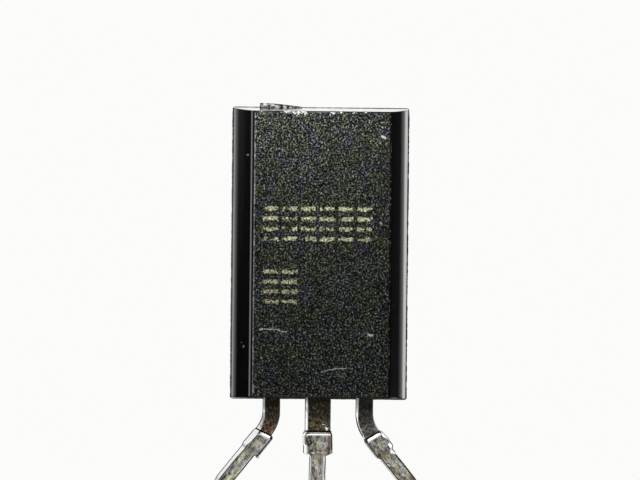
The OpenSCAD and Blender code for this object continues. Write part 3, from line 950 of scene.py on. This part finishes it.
def dipped_lead(finish):
    """Alloy lead frame, bare and browned at the neck and hot-dipped in tin below it.

    The tin froze in soft patches drawn out along the strip, so it mirrors in blurred grey blotches, with
    dark pits where flux sat and a few yellow-brown and rusty stains. The bare neck is a dull dark brown
    with fine streaks. The punched side faces and the bead at the end of the dip are clean and bright, and
    where the punch tore the edge it is dark and matt. A thin dark line just over the bead is painted shade.
    """
    material, tree, shader, at = new_material("dipped_lead")
    tinned, edge, burr = (
        node(tree, "Attribute", attribute_name=mark).outputs["Fac"] for mark in ("tinned", "edge", "burr")
    )
    strip = node(tree, "Attribute", attribute_name="strip").outputs["Vector"]
    across, _, above = node(tree, "SeparateXYZ", (strip,)).outputs
    rightward = node(tree, "SeparateXYZ", (at,)).outputs[0]
    drawn = node(tree, "Mapping", {"Vector": strip, "Scale": (1, 1, 0.5)})
    front_place = node(tree, "Mapping", {"Vector": at, "Scale": (1, 0, 1)})
    blotch = node(tree, "TexNoise", (drawn, 9.0, 4.0, 0.6))
    fine = node(tree, "TexNoise", (drawn, 30.0, 2.0))
    pits = node(tree, "TexNoise", (drawn, 17.0, 4.0, 0.65))
    stains = node(tree, "TexNoise", (drawn, 4.4, 4.0, 0.65))
    streaks = node(tree, "TexNoise", (drawn, 24.0, 3.0))
    speck = node(tree, "TexNoise", (at, 13.0, 3.0, 0.6))
    lean = node(tree, "TexNoise", (at, 7.0, 2.0))

    level = node(tree, "MapRange", (blotch, 0.36, 0.54))
    tin = node(tree, "Mix", (level, rgba(finish.dull), rgba(finish.tin)), **BLEND)
    leaning = node(tree, "MapRange", (lean, 0.42, 0.58))
    tint = node(tree, "Mix", (leaning, rgba(finish.warm), rgba(finish.cool)), **BLEND)
    tinted = node(tree, "Mix", (1.0, tin, tint), **MULTIPLY)
    flecks = node(tree, "MapRange", (fine, 0.3, 0.5, 0.38, 1.08))
    soiled = node(tree, "Mix", (1.0, tinted, flecks), **MULTIPLY)
    flux = node(tree, "MapRange", (stains, 0.47, 0.6, 0.0, 0.75))
    rust = node(tree, "MapRange", (stains, 0.41, 0.35, 0.0, 0.6))
    for x, height, radius in RUST_SPOTS:
        away = node(tree, "VectorMath", (front_place, (x, 0, SEAT / MM + height)), operation="DISTANCE")
        ragged = node(tree, "Math", (fine, -0.4, away), operation="MULTIPLY_ADD")
        spot = node(tree, "MapRange", (ragged, radius - 0.2, radius - 0.28, 0.0, 0.7))
        rust = node(tree, "Math", (rust, spot), operation="MAXIMUM")
    # Pits lie all over the tin, and thickest along the strip's left edge.
    leftward = node(tree, "MapRange", (across, -0.02, -0.2, 0.0, 0.17))
    pit_level = node(tree, "Math", (pits, leftward), operation="ADD")
    pit = node(tree, "MapRange", (pit_level, 0.57, 0.68, 0.0, 0.8))
    for amount, colour_on_top in ((flux, finish.flux), (rust, finish.rust), (pit, finish.pit)):
        soiled = node(tree, "Mix", (amount, soiled, rgba(colour_on_top)), **BLEND)
    # Flux and pits come from the soldered dam bar cut, and the tin is cleaner further down.
    wear = node(tree, "MapRange", (above, -1.8, -4.5, 1.0, 0.18))
    calm = node(tree, "Mix", (0.6, tin, rgba(finish.tin, 0.72)), **BLEND)
    aged = node(tree, "Mix", (wear, calm, soiled), **BLEND)
    # The stub is duller than the lead under it.
    fresh = node(tree, "MapRange", (above, -0.6, -0.95, 0.88, 1.12))
    freshened = node(tree, "Mix", (1.0, aged, fresh), **MULTIPLY)

    streak = node(tree, "MapRange", (streaks, 0.46, 0.62))
    browned = node(tree, "Mix", (streak, rgba(finish.stain, 0.3), rgba(finish.stain, 2.0)), **BLEND)
    near_seam = node(tree, "MapRange", (above, 0.5, 0.1, 0.0, 0.7))
    clump = node(tree, "MapRange", (blotch, 0.46, 0.6))
    bleeding = node(tree, "Math", (near_seam, clump), operation="MULTIPLY")
    # Rust comes out on the emitter's neck, flux on the collector's, and the base's is only greyed.
    past_emitter = node(tree, "MapRange", (rightward, -0.9, -0.6))
    past_collector = node(tree, "MapRange", (rightward, 0.6, 0.9))
    bleed_left = node(tree, "Mix", (past_emitter, rgba(finish.rust, 0.8), rgba(finish.flux, 0.22)), **BLEND)
    bleed = node(tree, "Mix", (past_collector, bleed_left, rgba(finish.dull, 1.3)), **BLEND)
    greying = node(tree, "Math", (past_collector, 0.6), operation="MULTIPLY")
    greyed = node(tree, "Mix", (greying, browned, rgba(finish.dull, 0.75)), **BLEND)
    neck = node(tree, "Mix", (bleeding, greyed, bleed), **BLEND)
    # The neck pales from the body down to the seam, with dark and pale specks.
    depth = node(tree, "MapRange", (above, 0.85, 0.05, 0.3, 2.8))
    mottle = node(tree, "MapRange", (speck, 0.4, 0.62, 0.35, 1.7))
    speckled = node(tree, "Math", (depth, mottle), operation="MULTIPLY")
    paled = node(tree, "Mix", (1.0, neck, speckled), **MULTIPLY)
    face = node(tree, "Mix", (tinned, paled, freshened), **BLEND)

    # Two bands along the strip, each between two slopes: the bright bead, and over it a dark line at the
    # seam, which is painted shade in the crease above the bead.
    bead_slopes, seam_shade_slopes = ((-0.022, -0.03), (-0.13, -0.115)), ((-0.03, -0.022), (0.022, 0.014))
    bead, seam = (
        node(tree, "Math", [node(tree, "MapRange", (above, *ends)) for ends in slopes], operation="MULTIPLY")
        for slopes in (bead_slopes, seam_shade_slopes)
    )
    clean = node(tree, "Math", (bead, edge), operation="MAXIMUM")
    bright = node(tree, "Mix", (clean, face, rgba(finish.tin)), **BLEND)
    # The dark share is the torn edges together with the painted shade line over the bead.
    dark = node(tree, "Math", (seam, burr), operation="MAXIMUM")

    shiny = node(tree, "Math", (clean, tinned), operation="MAXIMUM")
    lit = node(tree, "Math", (shiny, dark), operation="SUBTRACT", use_clamp=True)
    oxide = node(tree, "MapRange", (tinned, 0.0, 1.0, 0.65, 0.0))
    matt = node(tree, "Math", (oxide, dark), operation="MAXIMUM")
    dull = node(tree, "MapRange", (blotch, 0.0, 1.0, 0.55, 0.25))
    smooth = node(tree, "MapRange", (clean, 0.0, 1.0, 1.0, 0.4))
    uneven = node(tree, "MapRange", (clean, 0.0, 1.0, 1.0, 0.1))
    surface = {
        "Base Color": node(tree, "Mix", (dark, bright, rgba(finish.pit)), **BLEND),
        "Metallic": node(tree, "MapRange", (lit, 0.0, 1.0, 0.2, 1.0)),
        "Specular IOR Level": node(tree, "MapRange", (matt, 0.0, 1.0, 0.5, 0.0)),
        "Roughness": node(tree, "Math", (dull, smooth), operation="MULTIPLY"),
        "Normal": node(tree, "Bump", {"Height": blotch, "Distance": 0.01 * MM, "Strength": uneven}),
    }
    plug(tree, shader, surface)
    return material


def hazy(name, scale, detail, colours, roughness, **values):
    """A material whose colour and roughness drift between two ends with one soft noise."""
    material, tree, shader, at = new_material(name, **values)
    haze = node(tree, "TexNoise", (at, scale, detail))
    base = node(tree, "Mix", (haze, *(rgba(linear(end)) for end in colours)), **BLEND)
    rough = node(tree, "MapRange", (haze, 0.0, 1.0, *roughness))
    plug(tree, shader, {"Base Color": base, "Roughness": rough})
    return material


def passivated_silicon():
    """Silicon under a clear oxide: slate blue-grey and glassy, with a faint dicing haze."""
    return hazy("passivated_silicon", 9.0, 3.0, ("#3a4152", "#6c7486"), (0.15, 0.15), IOR=2.0)


def soft_solder():
    """Reflowed solder under the die: dull silver with a grainy skin."""
    return hazy("soft_solder", 20.0, 3.0, ("#7d8084", "#a9abad"), (0.3, 0.55), Metallic=1.0)


def drawn_gold():
    """Gold bond wire: clean yellow metal, polished by the drawing die, with a faint handling haze."""
    return hazy("drawn_gold", 25.0, 2.0, ("#d9ab45", "#f0cb6a"), (0.12, 0.3), Metallic=1.0)


def dress(cad_node, material):
    """Gives a CAD node a material in place of the plain one it came with."""
    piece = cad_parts[cad_node]
    if not piece.material_slots:
        piece.data.materials.append(material)
    for material_slot in piece.material_slots:
        material_slot.material = material


# ---------- operators ----------


class TRANSISTOR_OT_mould_body(bpy.types.Operator):
    """Mould the epoxy body with its draft, parting ridge, pin mark and broken gate"""

    bl_idname = "transistor.mould_body"
    bl_label = "Mould the body"

    def execute(self, context):
        shape = context.scene.transistor_body
        moved, marks = mould_marks(shape, *body_rings(shape))
        foot = SEAT + shape.lift + shape.parting_end_h
        head = SEAT + shape.lift + shape.height - shape.parting_end_h
        points, faces = closed_skin(moved + [0, 0, SEAT], [(0, 0, foot), (0, 0, head)])
        skins = [(points, faces, {name: np.append(values, [0, 0]) for name, values in marks.items()})]
        ridge = parting_rings(shape)
        gate, gate_pale = gate_rings(shape)
        for rings, pale, torn in ((ridge, np.zeros(ridge.shape[:2]), 0.3), (gate, gate_pale, 1.0)):
            points, faces = closed_skin(rings + [0, 0, SEAT])
            marks = {name: np.zeros(len(points)) for name in ("grained", "ink")}
            marks["pale_and_highlight"] = np.append(pale, [0.4, 0.4])
            # The ridge's lower run is trimmed rough.
            marks["torn"] = np.where(points[:, 2] < SEAT + 0.05 * MM, 1.0, torn)
            skins.append((points, faces, marks))
        material = moulded_epoxy(context.scene.transistor_body_finish)
        make_piece("moulded_body", merged(skins), material, "body", 50)
        return {"FINISHED"}


class TRANSISTOR_OT_form_leads(bpy.types.Operator):
    """Form the emitter, collector and base leads out of stamped and dipped strip"""

    bl_idname = "transistor.form_leads"
    bl_label = "Form the leads"

    def execute(self, context):
        shape = context.scene.transistor_leads
        material = dipped_lead(context.scene.transistor_lead_finish)
        # The emitter is formed towards +x as the base is, and then mirrored.
        drop, slant = shape.emitter_drop, shape.emitter_slant
        stub_out = (shape.emitter_outer, shape.emitter_inner)
        keys = outer_keys(shape, drop, slant, shape.emitter_seam, stub_out)
        strip = ribbon_skin(keys, side_faces(EMITTER_INNER, EMITTER_OUTER), 21)
        nib_radii = np.array([1, 1.6, 0.85]) * shape.nib / MM
        nib = drop_skin(nib_place(shape, slant, drop, stub_out), nib_radii, 0.0)
        points, faces, marks = merged([strip, nib])
        points[:, 0] *= -1
        marks["strip"][:, 0] *= -1
        skin = (points, [kind[:, ::-1] for kind in faces], marks)
        make_piece("formed_lead_emitter", skin, material, "lead_emitter")

        stub_out = (shape.base_outer, shape.base_inner)
        keys = outer_keys(shape, shape.base_drop, shape.base_slant, shape.base_seam, stub_out)
        skin = ribbon_skin(keys, side_faces(BASE_INNER, BASE_OUTER), 31)
        make_piece("formed_lead_base", skin, material, "lead_base")

        strip = ribbon_skin(middle_keys(shape), side_faces(COLLECTOR_LEFT, COLLECTOR_RIGHT), 41)
        drops = [drop_skin(*row) for row in DROPS]
        skin = merged([strip, *drops])
        make_piece("formed_lead_collector", skin, material, "lead_collector")
        return {"FINISHED"}


class TRANSISTOR_OT_finish_die(bpy.types.Operator):
    """Finish the silicon die and the solder under it"""

    bl_idname = "transistor.finish_die"
    bl_label = "Finish the die"

    def execute(self, context):
        dress("die", passivated_silicon())
        dress("die_attach", soft_solder())
        return {"FINISHED"}


class TRANSISTOR_OT_finish_bond_wires(bpy.types.Operator):
    """Finish the two gold bond wires"""

    bl_idname = "transistor.finish_bond_wires"
    bl_label = "Finish the bond wires"

    def execute(self, context):
        gold = drawn_gold()
        dress("bond_wire_emitter", gold)
        dress("bond_wire_base", gold)
        return {"FINISHED"}


# Soft lamps: name, azimuth, elevation, distance, width, height and radiance. Azimuth 0 is the flat's own way.
LAMPS = (
    ("strip_left", -72, -1.6, 60, 48, 13, 2.8),
    ("key_above", -16, 57.5, 9.2, 3.2, 3.2, 34.0),
    ("fill_above", 0, 32, 90, 90, 28, 2.0),
    ("fill_low", 2, -14, 90, 80, 30, 1.4),
    ("fill_right", 100, 0, 120, 130, 80, 0.03),
    ("card_left", -152, -36, 12.4, 7, 5, 1.0),
    ("rim_right", 150, 6, 120, 23, 90, 0.7),
    ("back_above", 178, 12, 150, 120, 40, 0.5),
)


def direction(azimuth, elevation):
    """Unit direction at an azimuth, anticlockwise from -Y seen from above, and an elevation, in radians."""
    out = math.cos(elevation)
    return Vector((math.sin(azimuth) * out, -math.cos(azimuth) * out, math.sin(elevation)))


def looking_at(aim, toward, distance, roll=0.0):
    """Pose of a lamp or camera that stands off from the aim in a direction and looks back at it."""
    turn = toward.to_track_quat("Z", "Y").to_matrix().to_4x4() @ Matrix.Rotation(roll, 4, "Z")
    return Matrix.Translation(aim + distance * toward) @ turn


def place_lamp(name, aim, azimuth, elevation, distance, width, height, radiance):
    """A soft rectangular lamp that faces the aim. Angles are in degrees and lengths in mm."""
    light = bpy.data.lights.new(name, "AREA")
    light.shape = "RECTANGLE"
    light.size, light.size_y = width * MM, height * MM
    light.energy = radiance * light.size * light.size_y * math.pi
    lamp = bpy.data.objects.new(name, light)
    toward = direction(math.radians(azimuth), math.radians(elevation))
    lamp.matrix_world = looking_at(aim, toward, distance * MM)
    lamp.visible_camera = False
    bpy.context.scene.collection.objects.link(lamp)


class TRANSISTOR_OT_set_stage(bpy.types.Operator):
    """Set the floor, the backdrop, the lamps and the camera"""

    bl_idname = "transistor.set_stage"
    bl_label = "Set the stage"

    def execute(self, context):
        scene = context.scene
        stage = scene.transistor_stage
        aim = Vector((stage.aim_x, 0, stage.aim_z))
        self.lay_floor(stage)
        self.stand_screen(stage)
        self.spread_cloth()
        for name, *placing in LAMPS:
            place_lamp(name, aim, *placing)
        self.light_world(scene, stage)
        self.aim_camera(scene, stage, aim)
        scene.view_settings.view_transform = "Standard"
        return {"FINISHED"}

    def lay_floor(self, stage):
        """A round sheet of pale paper: rings of points, with a shallow roll at its rim, faded to white."""
        radius = 75 * MM
        share = np.array([0.02, 0.2, 0.4, 0.6, 0.8, 0.9, 0.96, 0.99, 1.0, 0.99])[:, None]
        drop = np.array([0, 0, 0, 0, 0, 0, 0, 0.001, 0.004, 0.008])[:, None]
        turn = np.linspace(0, 2 * math.pi, 96, endpoint=False)
        rings = grid(radius * share * np.cos(turn), radius * share * np.sin(turn), FLOOR_Z - radius * drop)
        material, tree, shader, at = new_material("pale_paper", Roughness=0.9)
        fibre = node(tree, "TexNoise", (at, 1.5, 4.0))
        paper = node(tree, "Mix", (fibre, rgba(stage.floor, 0.97), rgba(stage.floor)), **BLEND)
        plug(tree, shader, {"Base Color": paper})
        far = node(tree, "VectorMath", (at,), operation="LENGTH")
        ends = (0.3 * radius / MM, 0.95 * radius / MM)
        fade = node(tree, "MapRange", (far, *ends), interpolation_type="SMOOTHSTEP")
        ray = node(tree, "LightPath").outputs
        mirrored = node(tree, "Math", (ray["Is Camera Ray"], ray["Is Glossy Ray"]), operation="ADD")
        seen = node(tree, "Math", (mirrored, ray["Is Transmission Ray"]), operation="ADD")
        glow = node(tree, "Emission", {"Color": rgba(stage.backdrop), "Strength": seen})
        faded = node(tree, "MixShader", (fade, shader, glow))
        plug(tree, tree.nodes["Material Output"], {"Surface": faded})
        floor = add_object("paper_floor", *closed_skin(rings), material, {})
        floor.data.shade_smooth()

    def stand_screen(self, stage):
        """A curved black screen round the front and sides, for the polished resin to mirror.

        It is a patch of a cylinder, tall in front and low towards its ends. The ends fade out, so that what
        it hides of the white sweep comes in softly.
        """
        radius, foot, raised_foot, top = 350 * MM, -60 * MM, -20 * MM, 560 * MM
        left, right = stage.screen_left, stage.screen_right
        azimuth = np.linspace(left, right, 146)[:, None]
        raised = ramp((azimuth - math.radians(45)) / 0.2) * ramp((math.radians(135) - azimuth) / 0.2)
        low = foot + (raised_foot - foot) * raised
        height = low + (top - low) * np.linspace(0, 1, 12)
        inside = np.minimum((azimuth - left) / stage.fade_left, (right - azimuth) / stage.fade_right)
        cut_away = ramp(height / (0.2 * radius) - 0.4) * ramp((np.abs(azimuth) - math.radians(112)) / 0.3)
        points = grid(radius * np.sin(azimuth), -radius * np.cos(azimuth), height)
        self.hang_black("black_screen", points, np.clip(inside, 0, 1) * (1 - cut_away))

    def spread_cloth(self):
        """A ring of black cloth round the paper, open on the right, for the underside to mirror."""
        inner, outer, below_paper, half_gap = 60 * MM, 260 * MM, 1.5 * MM, math.radians(36)
        radius = np.linspace(inner, outer, 8)[:, None]
        turn = np.linspace(half_gap, 2 * math.pi - half_gap, 97)
        points = grid(radius * np.cos(turn), radius * np.sin(turn), FLOOR_Z - below_paper)
        self.hang_black("black_cloth", points, np.ones(points.shape[:2]))

    def hang_black(self, name, points, cover):
        """Makes a grid of points into black velvet that the camera doesn't see, as dense as cover says."""
        rows, columns = points.shape[:2]
        first = np.arange(rows - 1)[:, None] * columns + np.arange(columns - 1)
        faces = np.stack([first, first + 1, first + columns + 1, first + columns], -1).reshape(-1, 4)
        black = rgba(linear("#161616"))
        values = {"Base_Color": black, "Roughness": 1.0, "Specular_IOR_Level": 0.0}
        material, tree, shader, _ = new_material(f"velvet_{name}", **values)
        dense = node(tree, "Attribute", attribute_name="cover").outputs["Fac"]
        woven = node(tree, "MixShader", (dense, node(tree, "BsdfTransparent"), shader))
        plug(tree, tree.nodes["Material Output"], {"Surface": woven})
        flag = add_object(name, points.reshape(-1, 3), [faces], material, {"cover": cover.ravel()})
        flag.visible_camera = False

    def light_world(self, scene, stage):
        """A white sweep all round, at a strength at which it renders as its own colour."""
        world = bpy.data.worlds.new("white_sweep")
        world.use_nodes = True
        tree = world.node_tree
        tree.nodes.clear()
        glow = node(tree, "Background", {"Color": rgba(stage.backdrop), "Strength": 1.0})
        node(tree, "OutputWorld", {"Surface": glow})
        scene.world = world

    def aim_camera(self, scene, stage, aim):
        """A long lens that looks at the aim, turned by the roll round its own axis."""
        lens = bpy.data.cameras.new("camera")
        lens.sensor_width = 36
        lens.lens = lens.sensor_width * stage.distance / stage.view_w
        lens.clip_start, lens.clip_end = 0.005, 10
        camera = bpy.data.objects.new("camera", lens)
        toward = direction(stage.azimuth, stage.elevation)
        camera.matrix_world = looking_at(aim, toward, stage.distance, stage.roll)
        scene.collection.objects.link(camera)
        scene.camera = camera


OPERATORS = (
    TRANSISTOR_OT_mould_body,
    TRANSISTOR_OT_form_leads,
    TRANSISTOR_OT_finish_die,
    TRANSISTOR_OT_finish_bond_wires,
    TRANSISTOR_OT_set_stage,
)


class TRANSISTOR_PT_sidebar(bpy.types.Panel):
    """Lists the steps that build the transistor"""

    bl_idname = "TRANSISTOR_PT_sidebar"
    bl_label = "Transistor"
    bl_space_type = "VIEW_3D"
    bl_region_type = "UI"
    bl_category = "Transistor"

    def draw(self, context):
        for operator in OPERATORS:
            self.layout.operator(operator.bl_idname)


SETTINGS = {
    "transistor_body": BodyShape,
    "transistor_body_finish": BodyFinish,
    "transistor_leads": LeadShape,
    "transistor_lead_finish": LeadFinish,
    "transistor_stage": StageSettings,
}


CLASSES = (*SETTINGS.values(), *OPERATORS, TRANSISTOR_PT_sidebar)


def register():
    for kind in CLASSES:
        bpy.utils.register_class(kind)
    for name, group in SETTINGS.items():
        setattr(bpy.types.Scene, name, PointerProperty(type=group))


def unregister():
    for name in SETTINGS:
        delattr(bpy.types.Scene, name)
    for kind in reversed(CLASSES):
        bpy.utils.unregister_class(kind)


def main():
    register()
    bpy.ops.transistor.mould_body()
    bpy.ops.transistor.form_leads()
    bpy.ops.transistor.finish_die()
    bpy.ops.transistor.finish_bond_wires()
    bpy.ops.transistor.set_stage()


if __name__ == "__main__":
    main()
